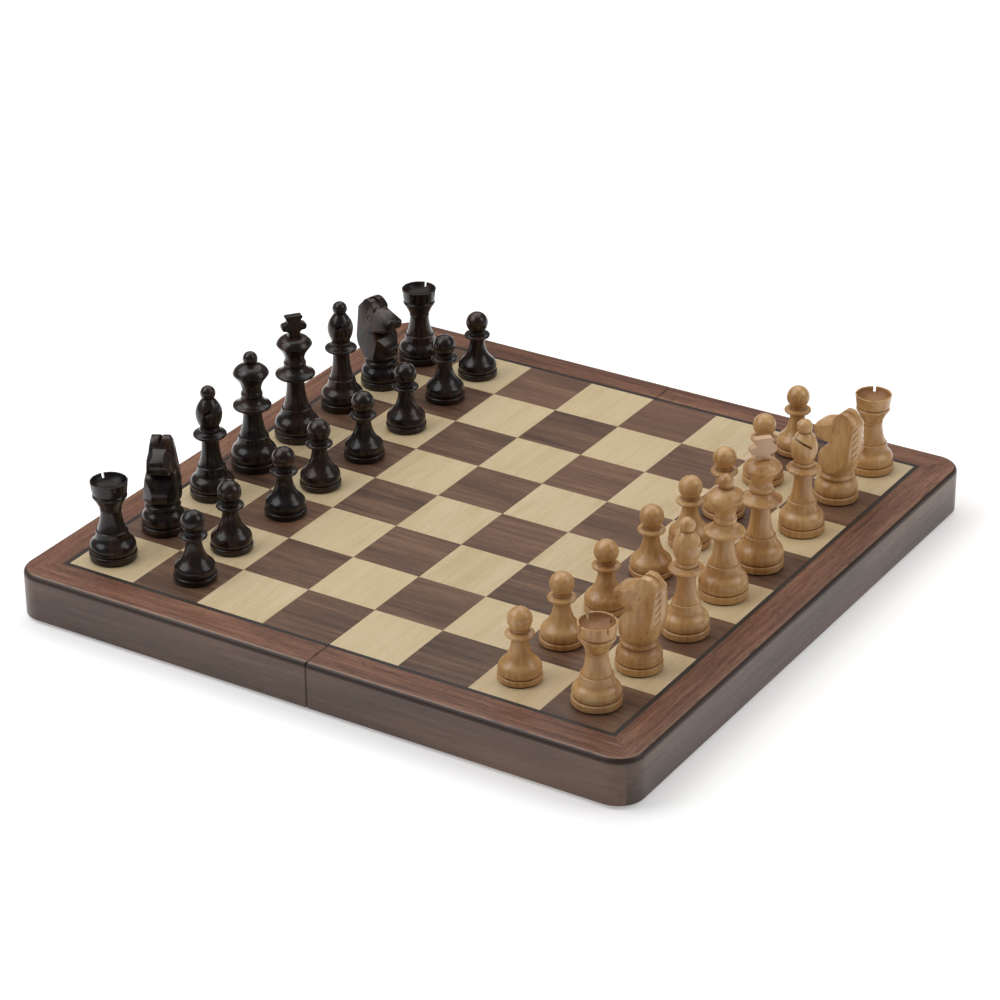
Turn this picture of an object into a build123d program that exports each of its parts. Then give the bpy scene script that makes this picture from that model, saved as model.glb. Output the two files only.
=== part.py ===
from build123d import *
import math
import os

# A folding board with a full set of turned chess pieces, in millimetres.
# X runs from the black player's end to the white player's end, Y along the
# fold from the a-file to the h-file, Z up. The origin is the middle of the
# base, at the lowest point of the hinge knuckles.

square_size = 42.0
inlay_width = 2.7
rail_face = 19.3
board_height = 27.0
corner_radius = 15.0
top_edge_radius = 3.2
lower_edge_radius = 0.8
seam_gap = 0.3

veneer_thickness = 0.8
panel_thickness = 4.0
ledge_width = 3.0
hinge_rail_width = 12.0
lining_thickness = 0.8

knuckle_radius = 1.5
pin_radius = 0.6
pin_bore_radius = 0.65
leaf_thickness = 1.0
leaf_width = 10.0
hinge_length = 30.0
hinge_offset = 110.0
knuckle_gap = 0.3
screw_head_radius = 2.0
screw_shank_radius = 1.0
screw_length = 8.0
magnet_radius = 4.0
magnet_height = 3.0
magnet_offset = 120.0

pad_thickness = 0.6
standing_gap = 0.02

half_grid = 4 * square_size
rail_width = rail_face + ledge_width
half_side = half_grid + inlay_width + rail_face
rim_level = knuckle_radius + seam_gap / 2
top_level = rim_level + board_height
veneer_base = top_level - veneer_thickness
panel_base = veneer_base - panel_thickness
seam_face = seam_gap / 2

# How far each man stands from the middle of its square, along X and Y, and
# how far it is turned about its own axis, in degrees.
back_rank = ["rook", "knight", "bishop", "queen", "king", "bishop", "knight", "rook"]
files = "abcdefgh"
black_back = {
    "a": (-5.3, -3.2, 58.0),
    "b": (-1.6, -5.0, -62.0),
    "c": (-3.2, 0.0, 32.0),
    "d": (-3.9, -1.0, 0.0),
    "e": (-4.4, -0.1, 52.0),
    "f": (-4.6, 4.2, 30.0),
    "g": (-1.8, -0.7, -12.0),
    "h": (-1.1, -2.1, 8.0),
}
white_back = {
    "a": (-0.8, 0.2, 62.0),
    "b": (-0.4, -0.3, 180.0),
    "c": (2.4, 0.6, 100.0),
    "d": (0.0, 3.6, 0.0),
    "e": (0.9, 0.0, 46.0),
    "f": (1.4, 5.6, 228.0),
    "g": (0.3, 7.2, 176.0),
    "h": (0.7, 7.0, 23.0),
}
black_pawns = {
    "a": (4.5, 0.4),
    "b": (1.0, -3.9),
    "c": (2.6, 2.2),
    "d": (0.0, -2.2),
    "e": (0.8, -1.6),
    "f": (0.8, -0.2),
    "g": (-1.0, 2.0),
    "h": (-1.8, -3.0),
}
white_pawns = {
    "a": (-4.0, 1.0),
    "b": (-4.8, 1.2),
    "c": (-2.8, 0.4),
    "d": (-2.2, 4.8),
    "e": (-0.8, 2.2),
    "f": (-1.8, 0.4),
    "g": (-2.2, 5.2),
    "h": (-2.8, 4.8),
}

parts_folder = "parts"


def save(node, solids):
    shapes = []
    for solid in solids:
        shapes.extend(solid.solids())
    shape = shapes[0] if len(shapes) == 1 else Compound(children=shapes)
    export_step(shape, os.path.join(parts_folder, node + ".step"))
    print(node, len(shapes), "solids, volume", round(sum(s.volume for s in shapes), 2))


def block(low, high):
    size = [high[i] - low[i] for i in range(3)]
    middle = [(high[i] + low[i]) / 2 for i in range(3)]
    return Pos(*middle) * Box(*size)


def disc(radius, low, high, x=0.0, y=0.0):
    return Pos(x, y, (low + high) / 2) * Cylinder(radius, high - low)


# ---- the board ----

def rail_frame():
    # the whole rounded frame of both halves, with its inner ledge
    side = 2 * half_side
    frame = extrude(RectangleRounded(side, side, corner_radius), board_height)
    frame = Pos(0, 0, rim_level) * frame
    top_edges = frame.faces().sort_by(Axis.Z)[-1].edges()
    frame = fillet(top_edges, top_edge_radius)
    rim_edges = frame.faces().sort_by(Axis.Z)[0].edges()
    frame = fillet(rim_edges, lower_edge_radius)
    inside = 2 * (half_side - rail_width)
    frame -= block((-inside / 2, -inside / 2, rim_level - 1), (inside / 2, inside / 2, top_level + 1))
    ledge = 2 * (half_side - rail_face)
    frame -= block((-ledge / 2, -ledge / 2, panel_base), (ledge / 2, ledge / 2, top_level + 1))
    return frame


def wedge(points):
    # an upright prism over the plan given by the points
    return Pos(0, 0, rim_level - 2) * extrude(make_face(Polyline(*points, close=True)), board_height + 4)


def end_rail(frame):
    reach = half_side + 5
    inner = half_side - rail_width
    plan = [(reach, -reach), (reach, reach), (inner - 5, inner - 5), (inner - 5, -inner + 5)]
    rail = frame & wedge(plan)
    for y in (-magnet_offset, magnet_offset):
        x = half_side - rail_width / 2
        rail -= disc(magnet_radius + 0.05, rim_level - 1, rim_level + magnet_height + 0.15, x, y)
    return rail


def side_rail(frame, way):
    reach = half_side + 5
    inner = half_side - rail_width
    plan = [
        (seam_face, way * (inner - 5)),
        (inner - 5, way * (inner - 5)),
        (reach, way * reach),
        (seam_face, way * reach),
    ]
    rail = frame & wedge(plan)
    # the far ends of the seam are eased
    edges = rail.edges().filter_by(Axis.Z).filter_by(
        lambda e: abs(e.center().X - seam_face) < 0.01 and abs(e.center().Y) > half_side - 0.5
    )
    return chamfer(edges, 0.5)


def leaf_plan_screws():
    return [(leaf_width * 0.62, -hinge_length * 0.3), (leaf_width * 0.62, hinge_length * 0.3)]


def hinge_rail():
    inner = half_side - rail_width
    rail = block((seam_face, -inner, rim_level), (hinge_rail_width, inner, panel_base))
    for way in (-1, 1):
        y = way * hinge_offset
        low = y - hinge_length / 2 - 0.1
        high = y + hinge_length / 2 + 0.1
        rail -= block((-1, low, rim_level - 1), (leaf_width + 0.1, high, rim_level + leaf_thickness + 0.05))
        barrel = Pos(0, y, knuckle_radius) * Rot(90, 0, 0) * Cylinder(knuckle_radius + 0.4, hinge_length + 0.2)
        rail -= barrel
        for x, shift in leaf_plan_screws():
            bottom = rim_level + leaf_thickness - 0.5
            rail -= disc(screw_shank_radius, bottom, rim_level + screw_length, x, y + shift)
    return rail


def panel():
    edge = half_grid + inlay_width
    return block((seam_face, -edge, panel_base), (edge, edge, veneer_base))


def squares(light):
    tiles = []
    for i in range(4):
        for j in range(8):
            if ((i + 4 + j) % 2 == 0) != light:
                continue
            low_x = max(i * square_size, seam_face)
            low_y = (j - 4) * square_size
            high = ((i + 1) * square_size, low_y + square_size, top_level)
            tiles.append(block((low_x, low_y, veneer_base), high))
    return tiles


def inlay():
    inner = half_grid
    outer = half_grid + inlay_width
    strips = []
    plans = [
        [(inner, -inner), (outer, -outer), (outer, outer), (inner, inner)],
        [(seam_face, inner), (inner, inner), (outer, outer), (seam_face, outer)],
        [(seam_face, -inner), (inner, -inner), (outer, -outer), (seam_face, -outer)],
    ]
    for plan in plans:
        face = make_face(Polyline(*plan, close=True))
        strips.append(Pos(0, 0, veneer_base) * extrude(face, veneer_thickness))
    return strips


def lining():
    inner = half_side - rail_width
    return block((hinge_rail_width, -inner, panel_base - lining_thickness), (inner, inner, panel_base))


def magnets():
    x = half_side - rail_width / 2
    low = rim_level + 0.1
    return [disc(magnet_radius, low, low + magnet_height, x, y) for y in (-magnet_offset, magnet_offset)]


def knuckle(y_low, y_high):
    length = y_high - y_low
    return Pos(0, (y_low + y_high) / 2, knuckle_radius) * Rot(90, 0, 0) * Cylinder(knuckle_radius, length)


def hinge_leaf(y, outer_knuckles):
    low = y - hinge_length / 2
    high = y + hinge_length / 2
    third = hinge_length / 3
    stretches = [(low + third + knuckle_gap / 2, high - third - knuckle_gap / 2)]
    gaps = [(low, low + third + knuckle_gap / 2), (high - third - knuckle_gap / 2, high)]
    if outer_knuckles:
        stretches = [(low, low + third - knuckle_gap / 2), (high - third + knuckle_gap / 2, high)]
        gaps = [(low + third - knuckle_gap / 2, high - third + knuckle_gap / 2)]
    leaf = block((0.4, low, rim_level), (leaf_width, high, rim_level + leaf_thickness))
    for start, stop in gaps:
        leaf -= block((-1, start, 0), (knuckle_radius + 0.35, stop, 4))
    for start, stop in stretches:
        leaf += knuckle(start, stop)
    leaf -= Pos(0, y, knuckle_radius) * Rot(90, 0, 0) * Cylinder(pin_bore_radius, hinge_length + 2)
    for x, shift in leaf_plan_screws():
        cone = Pos(x, y + shift, rim_level + leaf_thickness / 2) * Cone(
            screw_head_radius, screw_shank_radius, leaf_thickness
        )
        leaf -= cone
    return leaf


def hinge_screws():
    screws = []
    for way in (-1, 1):
        for x, shift in leaf_plan_screws():
            y = way * hinge_offset + shift
            head = Pos(x, y, rim_level + leaf_thickness / 2 + 0.05) * Cone(
                screw_head_radius - 0.15, screw_shank_radius - 0.1, leaf_thickness - 0.1
            )
            shank = disc(screw_shank_radius - 0.1, rim_level + leaf_thickness - 0.2, rim_level + screw_length - 0.5, x, y)
            slot = block((x - 2.5, y - 0.25, rim_level - 1), (x + 2.5, y + 0.25, rim_level + 0.4))
            screws.append(head + shank - slot)
    return screws


def hinge_pins():
    pins = []
    for way in (-1, 1):
        y = way * hinge_offset
        pins.append(Pos(0, y, knuckle_radius) * Rot(90, 0, 0) * Cylinder(pin_radius, hinge_length))
    return pins


def turned_about(shape):
    # the black half is the white half turned half a turn about Z
    return Rot(0, 0, 180) * shape


def make_half(colour, place):
    frame = rail_frame()
    save(colour + "_end_rail", [place(end_rail(frame))])
    near = -1 if colour == "white" else 1
    save(colour + "_near_rail", [place(side_rail(frame, near))])
    save(colour + "_far_rail", [place(side_rail(frame, -near))])
    save(colour + "_hinge_rail", [place(hinge_rail())])
    save(colour + "_panel", [place(panel())])
    save(colour + "_light_squares", [place(tile) for tile in squares(True)])
    save(colour + "_dark_squares", [place(tile) for tile in squares(False)])
    save(colour + "_inlay", [place(strip) for strip in inlay()])
    save(colour + "_lining", [place(lining())])
    save(colour + "_magnets", [place(magnet) for magnet in magnets()])
    leaves = [hinge_leaf(way * hinge_offset, colour == "black") for way in (-1, 1)]
    save(colour + "_hinge_leaves", [place(leaf) for leaf in leaves])
    save(colour + "_hinge_screws", [place(screw) for screw in hinge_screws()])


# ---- the men ----
# A profile is a list of stretches, each a list of (radius, height) points:
# two points make a line, three an arc, more a smooth curve.

def turned(profile):
    first = profile[0][0]
    last = profile[-1][-1]
    edges = [Line((0, 0, first[1]), (first[0], 0, first[1]))]
    for stretch in profile:
        points = [(r, 0, z) for r, z in stretch]
        if len(points) == 2:
            edges.append(Line(*points))
        elif len(points) == 3:
            edges.append(ThreePointArc(*points))
        else:
            edges.append(Spline(*points))
    if last[0] > 0:
        edges.append(Line((last[0], 0, last[1]), (0, 0, last[1])))
    edges.append(Line((0, 0, last[1]), (0, 0, first[1])))
    return revolve(make_face(edges), Axis.Z, 360)


def plinth(radius, groove):
    # the flat-sided foot and the V groove above it
    return [
        [(radius - 0.5, pad_thickness), (radius - 0.15, pad_thickness + 0.15), (radius, pad_thickness + 0.5)],
        [(radius, pad_thickness + 0.5), (radius, groove - 0.9)],
        [(radius, groove - 0.9), (radius - 0.12, groove - 0.5), (radius - 0.45, groove - 0.25)],
        [(radius - 0.45, groove - 0.25), (radius - 1.1, groove)],
    ]


def ball_on(radius, middle, neck, neck_base):
    # up the neck, then round the ball to its top
    low = middle - math.sqrt(radius ** 2 - neck ** 2)
    return [[(neck, neck_base), (neck, low)], [(neck, low), (radius, middle), (0.0, middle + radius)]]


pawn_profile = plinth(11.7, 3.9) + [
    [(10.6, 3.9), (11.05, 4.5), (11.3, 5.6), (11.25, 7.2), (10.85, 8.7), (10.0, 9.8)],
    [(10.0, 9.8), (8.9, 10.9), (7.6, 12.3), (6.2, 14.6), (5.1, 17.6), (4.45, 20.4), (4.3, 22.6), (4.5, 24.4)],
    [(4.5, 24.4), (5.4, 24.6), (6.8, 24.95)],
    [(6.8, 24.95), (7.6, 25.85), (6.9, 26.75)],
    [(6.9, 26.75), (5.6, 27.1), (4.7, 27.3)],
    [(4.7, 27.3), (4.4, 27.9)],
] + ball_on(6.5, 33.95, 4.4, 27.9)

bishop_profile = plinth(12.7, 4.8) + [
    [(11.6, 4.8), (12.1, 5.5), (12.4, 6.9), (12.2, 9.0), (11.3, 10.9), (10.0, 12.2)],
    [(10.0, 12.2), (9.1, 13.2), (8.5, 14.8), (8.0, 16.8), (7.8, 18.3)],
    [(7.8, 18.3), (7.2, 18.55)],
    [(7.2, 18.55), (6.5, 20.4), (5.9, 22.8), (5.4, 25.6), (5.05, 28.6), (4.9, 31.6), (4.95, 34.4), (5.2, 35.8)],
    [(5.2, 35.8), (6.6, 36.1), (8.5, 36.35)],
    [(8.5, 36.35), (9.35, 37.25), (8.6, 38.15)],
    [(8.6, 38.15), (7.0, 38.7), (5.6, 39.5)],
    [(5.6, 39.5), (5.75, 40.4), (5.45, 41.3)],
    [(5.45, 41.3), (5.15, 41.7)],
    [(5.15, 41.7), (5.7, 43.3), (6.5, 45.0), (7.1, 47.1), (7.4, 49.6), (7.2, 52.0), (6.5, 54.2), (5.4, 56.2),
     (4.3, 57.8), (3.4, 58.9)],
    [(3.4, 58.9), (3.2, 59.3)],
] + ball_on(4.25, 62.15, 3.2, 59.3)

queen_profile = plinth(13.4, 4.9) + [
    [(12.3, 4.9), (12.9, 5.7), (13.2, 7.2), (13.05, 9.4), (12.3, 11.4), (11.2, 12.9)],
    [(11.2, 12.9), (10.1, 14.2), (9.3, 15.9), (8.8, 17.7), (8.6, 19.1)],
    [(8.6, 19.1), (7.9, 19.35)],
    [(7.9, 19.35), (7.2, 21.4), (6.5, 23.8), (5.95, 26.6), (5.55, 29.6), (5.4, 32.4), (5.5, 34.6), (5.8, 35.8)],
    [(5.8, 35.8), (7.6, 36.2), (9.9, 36.6)],
    [(9.9, 36.6), (10.9, 37.7), (10.1, 38.75)],
    [(10.1, 38.75), (8.2, 39.8), (6.8, 41.2), (5.85, 43.4)],
    [(5.85, 43.4), (6.2, 45.0), (5.6, 46.5)],
    [(5.6, 46.5), (5.45, 47.5), (5.7, 49.4), (6.4, 51.6), (7.6, 53.7), (9.1, 55.6), (9.9, 56.8)],
    [(9.9, 56.8), (10.15, 57.5), (9.9, 58.2)],
    [(9.9, 58.2), (9.3, 58.6), (7.6, 59.9), (5.7, 61.3), (4.1, 62.4), (3.5, 63.2)],
] + ball_on(4.2, 66.3, 3.5, 63.2)

king_profile = plinth(13.2, 4.9) + [
    [(12.1, 4.9), (12.7, 5.7), (13.0, 7.2), (12.85, 9.4), (12.1, 11.4), (11.0, 12.9)],
    [(11.0, 12.9), (9.9, 14.2), (9.1, 15.8), (8.6, 17.4), (8.4, 18.7)],
    [(8.4, 18.7), (7.7, 18.95)],
    [(7.7, 18.95), (7.0, 21.2), (6.3, 24.0), (5.75, 27.0), (5.35, 30.2), (5.15, 33.2), (5.2, 36.0), (5.6, 37.6)],
    [(5.6, 37.6), (7.8, 38.1), (10.4, 38.5)],
    [(10.4, 38.5), (11.45, 39.65), (10.6, 40.75)],
    [(10.6, 40.75), (8.6, 41.9), (7.1, 43.2), (6.05, 44.9)],
    [(6.05, 44.9), (6.5, 46.5), (5.9, 48.0)],
    [(5.9, 48.0), (5.6, 49.4), (5.85, 51.0), (6.6, 52.9), (7.8, 54.8), (9.2, 56.6), (9.95, 57.7)],
    [(9.95, 57.7), (10.2, 58.4), (9.95, 59.1)],
    [(9.95, 59.1), (9.3, 59.6), (7.4, 61.1), (5.6, 62.3), (4.4, 63.0)],
]

rook_profile = plinth(13.0, 4.7) + [
    [(11.9, 4.7), (12.4, 5.4), (12.65, 6.8), (12.4, 8.7), (11.5, 10.3), (10.3, 11.6)],
    [(10.3, 11.6), (9.5, 12.7), (9.0, 14.2), (8.7, 15.7), (8.6, 16.8)],
    [(8.6, 16.8), (7.95, 17.05)],
    [(7.95, 17.05), (7.2, 19.2), (6.5, 21.8), (6.0, 24.4), (5.7, 27.0), (5.6, 29.0)],
    [(5.6, 29.0), (5.95, 29.5), (5.65, 30.0)],
    [(5.65, 30.0), (6.3, 31.4), (7.2, 33.3), (8.3, 35.3), (9.2, 36.7)],
    [(9.2, 36.7), (9.45, 37.6), (9.1, 38.3)],
    [(9.1, 38.3), (8.6, 38.8)],
    [(8.6, 38.8), (9.4, 39.3)],
    [(9.4, 39.3), (9.75, 42.6), (10.15, 45.7)],
    [(10.15, 45.7), (10.1, 46.1), (9.8, 46.2)],
    [(9.8, 46.2), (9.3, 46.2)],
    [(9.3, 46.2), (8.6, 44.4), (6.9, 42.7), (4.6, 41.8), (2.2, 41.5)],
    [(2.2, 41.5), (0.0, 41.5)],
]

knight_base_profile = plinth(12.4, 4.7) + [
    [(11.3, 4.7), (11.8, 5.4), (12.05, 6.8), (11.95, 8.6), (11.4, 10.3), (10.6, 11.5)],
    [(10.6, 11.5), (9.9, 12.3), (9.4, 13.1), (9.2, 14.0)],
    [(9.2, 14.0), (9.9, 15.2), (9.2, 16.4)],
    [(9.2, 16.4), (8.7, 17.4)],
]
knight_base_height = 17.4

rook_height = 46.2
crown_slot_width = 1.4
crown_slot_depth = 3.2
mitre_slot_width = 1.2
cross_thickness = 4.4
king_height = 76.0


def pad(radius):
    return disc(radius - 0.6, 0.0, pad_thickness)


def pawn():
    return [turned(pawn_profile), pad(11.7)]


def rook():
    # four saw cuts through the crown wall
    body = Rot(0, 0, 45) * turned(rook_profile)
    top = rook_height
    for turn in (0, 90, 180, 270):
        cut = block((6.2, -crown_slot_width / 2, top - crown_slot_depth), (12, crown_slot_width / 2, top + 1))
        body -= Rot(0, 0, turn) * cut
    return [body, pad(13.0)]


def bishop():
    # one saw kerf slants down into the mitre from its +X side
    body = turned(bishop_profile)
    kerf = block((0, -9, -mitre_slot_width / 2), (12, 9, mitre_slot_width / 2))
    body -= Pos(-1.8, 0, 51.8) * Rot(0, -30, 0) * kerf
    return [body, pad(12.7)]


def queen():
    return [turned(queen_profile), pad(13.4)]


def king():
    body = turned(king_profile)
    # a flat cross with flared arms stands in the crown
    outline = [
        (4.1, 62.0), (3.4, 64.4), (3.4, 65.9), (4.4, 66.8), (6.0, 67.1), (7.0, 67.8), (7.3, 69.1), (7.0, 70.4),
        (6.0, 71.1), (4.6, 71.4), (3.9, 72.2), (4.1, 73.4), (4.9, 74.6), (5.0, king_height - 0.6),
        (4.4, king_height),
    ]
    right = [(x, 0, z) for x, z in outline]
    left = [(-x, 0, z) for x, z in reversed(outline)]
    plate = extrude(make_face(Polyline(*right, *left, close=True)), cross_thickness / 2, both=True)
    seat = disc(4.4, 62.0, 63.0)
    plate = plate & (disc(12, 63.0, 80.0) + seat)
    socket = plate & disc(12, 60.0, 63.0)
    body = body - socket
    return [body, plate, pad(13.2)]


# The knight's side outline, nose towards +X, from the foot of the chest up
# round the notch, the muzzle, the brow and the ears and down the back.
chest = [(8.0, 17.4), (9.7, 20.6), (10.2, 24.0), (9.2, 27.8), (6.6, 31.8), (3.0, 35.0)]
jaw = [(3.0, 35.0), (4.8, 36.6), (7.0, 37.3), (9.6, 37.4)]
muzzle = [(9.6, 37.4), (11.3, 38.6), (12.1, 41.0), (12.0, 43.6), (11.0, 45.2)]
brow = [(11.0, 45.2), (7.6, 47.4), (4.0, 48.4), (1.2, 48.8)]
ear_front = [(1.2, 48.8), (-0.4, 51.2), (-2.6, 53.4)]
nape = [(-2.6, 53.4), (-5.0, 53.7), (-8.4, 52.9), (-11.2, 50.8), (-12.8, 47.4), (-13.4, 43.0), (-13.4, 36.0),
        (-12.9, 29.0), (-11.7, 23.0), (-9.8, 19.0), (-8.4, 17.4)]

# Plan sections of the head: height, half width, and where the chest and mane
# bevels start.
head_sections = [
    (17.0, 8.9, 3.4, -4.6, -9.4),
    (19.5, 10.2, 3.6, -5.2, -11.0),
    (23.0, 10.0, 4.0, -6.2, -12.4),
    (28.0, 9.3, 4.4, -7.4, -13.3),
    (36.0, 8.0, 9.5, -8.8, -13.9),
    (44.0, 6.8, 12.5, -9.2, -13.8),
    (50.0, 5.8, 12.5, -7.6, -12.6),
    (55.0, 4.9, 12.5, -4.6, -8.6),
]


ear_parting = [(-1.8, 55.4), (1.8, 55.4), (0, 50.6)]
eye_place = (-1.2, 7.2, 42.4)
eye_radii = (1.5, 2.2)
eye_depth = 1.2
face_lean = 8.0
mane_cuts = 5
lowest_mane_cut = 30.4
mane_cut_step = 3.9
mane_angle = 46.0
# where the plan of the head changes from the bevelled neck to the square muzzle
jaw_level = 35.0
neck_front = (11.0, 3.2)
muzzle_front = 16.0
mane_ridge = 1.5


def head_plan(height, half_width, chest_start, mane_start, back):
    front, nose = neck_front if height < jaw_level else (muzzle_front, half_width)
    reach = back - 1.0
    points = [
        (front, nose), (chest_start, half_width), (mane_start, half_width), (reach, mane_ridge),
        (reach, -mane_ridge), (mane_start, -half_width), (chest_start, -half_width), (front, -nose),
    ]
    return Pos(0, 0, height) * make_face(Polyline(*points, close=True))


def knight():
    base = turned(knight_base_profile)
    edges = []
    for stretch in (chest, jaw, muzzle, brow, ear_front, nape):
        points = [(x, 0, z) for x, z in stretch]
        edges.append(ThreePointArc(*points) if len(points) == 3 else Spline(*points))
    edges.append(Line((nape[-1][0], 0, nape[-1][1]), (chest[0][0], 0, chest[0][1])))
    side = extrude(make_face(edges), 12, both=True)
    body = side & loft([head_plan(*section) for section in head_sections], ruled=True)
    # the parting between the ears
    parting = make_face(Polyline(*[(0, y, z) for y, z in ear_parting], close=True))
    body -= Pos(-14, 0, 0) * extrude(parting, 20, dir=(1, 0, 0))
    # a drilled ring for each eye and saw cuts across the mane bevels
    for way in (-1, 1):
        ring = Cylinder(eye_radii[1], eye_depth) - Cylinder(eye_radii[0], 2 * eye_depth)
        body -= Pos(eye_place[0], way * eye_place[1], eye_place[2]) * Rot(90 - way * face_lean, 0, 0) * ring
        for k in range(mane_cuts):
            cut = block((-2.4, -0.7, -0.25), (2.4, 0.7, 0.25))
            height = lowest_mane_cut + mane_cut_step * k
            body -= Pos(-11.2, way * 4.9, height) * Rot(0, 0, way * mane_angle) * Rot(0, 38, 0) * cut
    return [base, body, pad(12.4)]


makers = {"rook": rook, "knight": knight, "bishop": bishop, "queen": queen, "king": king, "pawn": pawn}


def stand(solids, x, y, turn):
    place = Pos(x, y, top_level + standing_gap) * Rot(0, 0, turn)
    return [place * solid for solid in solids]


def man_name(colour, kind, file_letter):
    if kind in ("king", "queen"):
        return colour + "_" + kind
    return colour + "_" + kind + "_" + file_letter


def set_up(shapes):
    ranks = {
        "black": (-3.5, black_back, -2.5, black_pawns),
        "white": (3.5, white_back, 2.5, white_pawns),
    }
    for colour, (back_row, back_places, pawn_row, pawn_places) in ranks.items():
        for j, letter in enumerate(files):
            y = (j - 3.5) * square_size
            kind = back_rank[j]
            shift_x, shift_y, turn = back_places[letter]
            x = back_row * square_size + shift_x
            save(man_name(colour, kind, letter), stand(shapes[kind], x, y + shift_y, turn))
            shift_x, shift_y = pawn_places[letter]
            x = pawn_row * square_size + shift_x
            save(man_name(colour, "pawn", letter), stand(shapes["pawn"], x, y + shift_y, 0))


os.makedirs(parts_folder, exist_ok=True)
make_half("white", lambda shape: shape)
make_half("black", turned_about)
save("hinge_pins", hinge_pins())
set_up({kind: maker() for kind, maker in makers.items()})
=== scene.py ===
import math
import bmesh
import bpy
from mathutils import Matrix, Quaternion, Vector


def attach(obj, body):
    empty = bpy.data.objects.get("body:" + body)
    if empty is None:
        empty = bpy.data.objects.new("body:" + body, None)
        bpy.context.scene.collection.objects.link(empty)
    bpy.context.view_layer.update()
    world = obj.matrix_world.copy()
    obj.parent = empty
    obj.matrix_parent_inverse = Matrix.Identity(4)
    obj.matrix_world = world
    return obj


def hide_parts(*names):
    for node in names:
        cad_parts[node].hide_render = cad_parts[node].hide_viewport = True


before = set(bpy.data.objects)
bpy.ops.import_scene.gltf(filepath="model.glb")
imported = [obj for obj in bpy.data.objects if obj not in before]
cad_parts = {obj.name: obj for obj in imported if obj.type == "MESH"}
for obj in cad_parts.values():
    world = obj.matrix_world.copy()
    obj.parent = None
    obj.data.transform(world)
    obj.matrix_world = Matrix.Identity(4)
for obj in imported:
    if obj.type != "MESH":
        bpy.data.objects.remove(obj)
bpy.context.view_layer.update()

# A folding walnut and maple chess board set up with turned and carved men.
# Outlines are in millimetres, everything in the scene is in metres.
mm = 0.001


# ---- shader maths ----

class Wire:
    # a socket that can be added, taken away, multiplied and divided
    def __init__(self, finish, socket):
        self.finish = finish
        self.socket = socket

    def maths(self, operation, first, second):
        return self.finish.node("ShaderNodeMath", {"operation": operation}, {0: first, 1: second})

    def __add__(self, other):
        return self.maths("ADD", self, other)

    def __radd__(self, other):
        return self.maths("ADD", other, self)

    def __sub__(self, other):
        return self.maths("SUBTRACT", self, other)

    def __rsub__(self, other):
        return self.maths("SUBTRACT", other, self)

    def __mul__(self, other):
        return self.maths("MULTIPLY", self, other)

    def __rmul__(self, other):
        return self.maths("MULTIPLY", other, self)

    def __truediv__(self, other):
        return self.maths("DIVIDE", self, other)


class Finish:
    # one material and the few ways of adding to its node tree
    def __init__(self, name):
        self.material = bpy.data.materials.new(name)
        self.material.use_nodes = True
        self.tree = self.material.node_tree
        self.tree.nodes.clear()

    def node(self, kind, settings=None, inputs=None, output=0):
        made = self.tree.nodes.new(kind)
        for name, value in (settings or {}).items():
            if name == "stops":
                stops = made.color_ramp.elements
                while len(stops) < len(value):
                    stops.new(0.5)
                for stop, (place, colour) in zip(stops, value):
                    stop.position = place
                    stop.color = (*colour, 1)
            else:
                setattr(made, name, value)
        for name, value in (inputs or {}).items():
            if isinstance(value, Wire):
                self.tree.links.new(value.socket, made.inputs[name])
            else:
                made.inputs[name].default_value = value
        return Wire(self, made.outputs[output])

    def place(self):
        return self.node("ShaderNodeTexCoord", output="Object")

    def stretched(self, place, amounts):
        return self.node("ShaderNodeVectorMath", {"operation": "MULTIPLY"}, {0: place, 1: amounts})

    def shifted(self, place, other):
        return self.node("ShaderNodeVectorMath", {"operation": "ADD"}, {0: place, 1: other})

    def noise(self, place, detail=3.0, roughness=0.55, output="Fac"):
        inputs = {"Vector": place, "Scale": 1.0, "Detail": detail, "Roughness": roughness}
        return self.node("ShaderNodeTexNoise", {"noise_dimensions": "3D"}, inputs, output)

    def band(self, value, low, high):
        # 0 below low, 1 above high, smooth between
        inputs = {"Value": value, "From Min": low, "From Max": high}
        return self.node("ShaderNodeMapRange", {"interpolation_type": "SMOOTHSTEP"}, inputs)

    def ramp(self, value, stops):
        return self.node("ShaderNodeValToRGB", {"stops": stops}, {0: value})

    def mix(self, share, first, second, way="MIX"):
        settings = {"data_type": "RGBA", "blend_type": way, "clamp_factor": True}
        first = first if isinstance(first, Wire) else (*first, 1)
        second = second if isinstance(second, Wire) else (*second, 1)
        return self.node("ShaderNodeMix", settings, {0: share, 6: first, 7: second}, 2)

    def bump(self, height, distance, strength=1.0):
        inputs = {"Height": height, "Distance": distance, "Strength": strength}
        return self.node("ShaderNodeBump", None, inputs)

    def surface(self, inputs):
        shader = self.node("ShaderNodeBsdfPrincipled", None, inputs)
        end = self.tree.nodes.new("ShaderNodeOutputMaterial")
        self.tree.links.new(shader.socket, end.inputs["Surface"])
        return self.material


def linear(red, green, blue):
    # a colour given as 0 to 255 per channel, for the shader
    def straight(level):
        return ((level / 255 + 0.055) / 1.055) ** 2.4 if level > 10 else level / 255 / 12.92
    return tuple(straight(level) for level in (red, green, blue))


# ---- finishes ----

square = 0.042


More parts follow.
